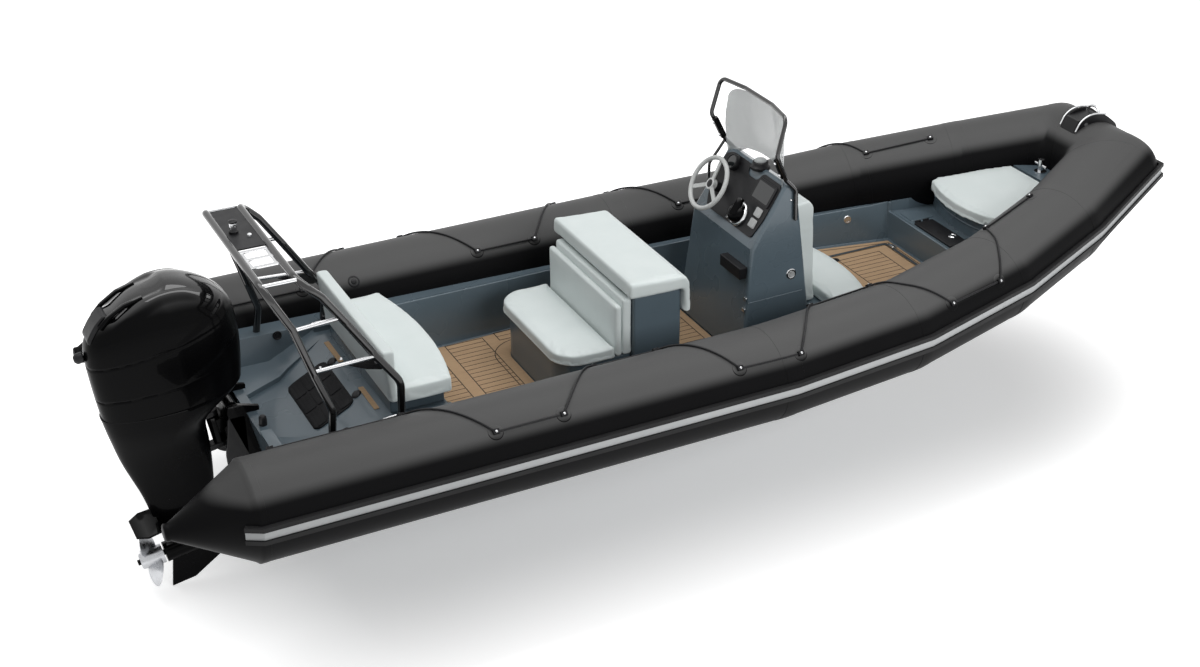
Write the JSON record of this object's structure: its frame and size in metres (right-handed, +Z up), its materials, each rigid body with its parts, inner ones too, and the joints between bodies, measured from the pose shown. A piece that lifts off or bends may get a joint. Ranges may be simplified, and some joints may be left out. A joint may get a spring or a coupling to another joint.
{
  "type": "inflatable rib boat",
  "caption": "Rigid-hulled inflatable boat with fat dark tubes, a decked cockpit with cushioned seats, a steering console with windscreen, a roll bar and an outboard motor.",
  "frame": {"origin": "on the centreline at the waterline, under the aft edge of the transom top", "axes": "+X to the bow, +Y to port, +Z up"},
  "size_m": [6.769, 2.5842, 2.2742],
  "materials": {
    "tube_fabric": "satin",
    "strake_rubber": "matte",
    "stripe": "satin",
    "grp_grey": "gloss",
    "teak_foam": "matte",
    "grip_pad": "matte",
    "cushion_vinyl": "satin",
    "black_plastic": "satin",
    "black_steel": "gloss",
    "stainless": "polished",
    "screen_tint": "gloss",
    "wheel_grey": "satin",
    "motor_black": "gloss",
    "cast_engine": "matte",
    "propeller_steel": "polished"
  },
  "bodies": {
    "boat": {"tube_port": "tube_fabric", "tube_starboard": "tube_fabric", "tube_bow": "tube_fabric", "strakes": "strake_rubber", "stripes": "stripe", "hull": "grp_grey", "liner": "grp_grey", "teak_aft": "teak_foam", "teak_forward": "teak_foam", "splash_pad": "grip_pad", "jockey_base": "grp_grey", "jockey_cushion": "cushion_vinyl", "helm_box": "grp_grey", "helm_cushion": "cushion_vinyl", "helm_back_aft": "cushion_vinyl", "helm_back_forward": "cushion_vinyl", "bench_base": "grp_grey", "bench_cushion": "cushion_vinyl", "bench_back": "cushion_vinyl", "console": "grp_grey", "dash_panel": "black_plastic", "dash_instruments": "black_plastic", "throttle": "black_plastic", "compass": "black_plastic", "switch_box": "black_plastic", "wheel_column": "black_plastic", "windscreen": "screen_tint", "windscreen_frame": "black_steel", "windscreen_clamps": "black_plastic", "front_seat_base": "grp_grey", "front_cushion": "cushion_vinyl", "front_back": "cushion_vinyl", "bow_cushion": "cushion_vinyl", "bollard": "stainless", "bow_roller": "black_plastic", "hoop_aft": "black_steel", "hoop_forward": "black_steel", "rungs": "stainless", "gussets": "black_steel", "bar_plate": "black_steel", "lantern": "black_plastic", "clamp_bracket": "motor_black", "eyelets": "black_plastic", "lifelines": "black_plastic"},
    "tilt": {"swivel_bracket": "motor_black"},
    "steer": {"midsection": "motor_black", "lower_unit": "motor_black", "cowl_pan": "motor_black", "cowl_top": "motor_black", "engine_block": "cast_engine"},
    "propeller": {"propeller": "propeller_steel"},
    "steering_wheel": {"steering_wheel": "wheel_grey"},
    "bow_lid": {"bow_lid": "black_plastic"},
    "deck_hatch": {"deck_hatch": "teak_foam"}
  },
  "joints": [
    {"name": "tilt", "type": "hinge", "parent": "boat", "child": "tilt", "pos_m": [-0.07, 0, 0.33], "axis": [0, 1, 0], "range_deg": [0, 64]},
    {"name": "steer", "type": "hinge", "parent": "tilt", "child": "steer", "pos_m": [-0.16356, 0, 0.3135], "axis": [-0.1736, 0, 0.9848], "range_deg": [-30, 30]},
    {"name": "propeller_spin", "type": "hinge", "parent": "steer", "child": "propeller", "pos_m": [-0.51038, 0, -0.53562], "axis": [0.9848, 0, 0.1736], "continuous": true},
    {"name": "wheel_turn", "type": "hinge", "parent": "boat", "child": "steering_wheel", "pos_m": [3.01505, 0.2, 0.91148], "axis": [-0.8504, 0, 0.5261], "range_deg": [-630, 630]},
    {"name": "bow_lid_hinge", "type": "hinge", "parent": "boat", "child": "bow_lid", "pos_m": [4.62, 0.195, 0.326], "axis": [-1, 0, 0], "range_deg": [0, 100]},
    {"name": "deck_hatch_hinge", "type": "hinge", "parent": "boat", "child": "deck_hatch", "pos_m": [4.44, 0, 0.126], "axis": [0, 1, 0], "range_deg": [0, 100]}
  ]
}
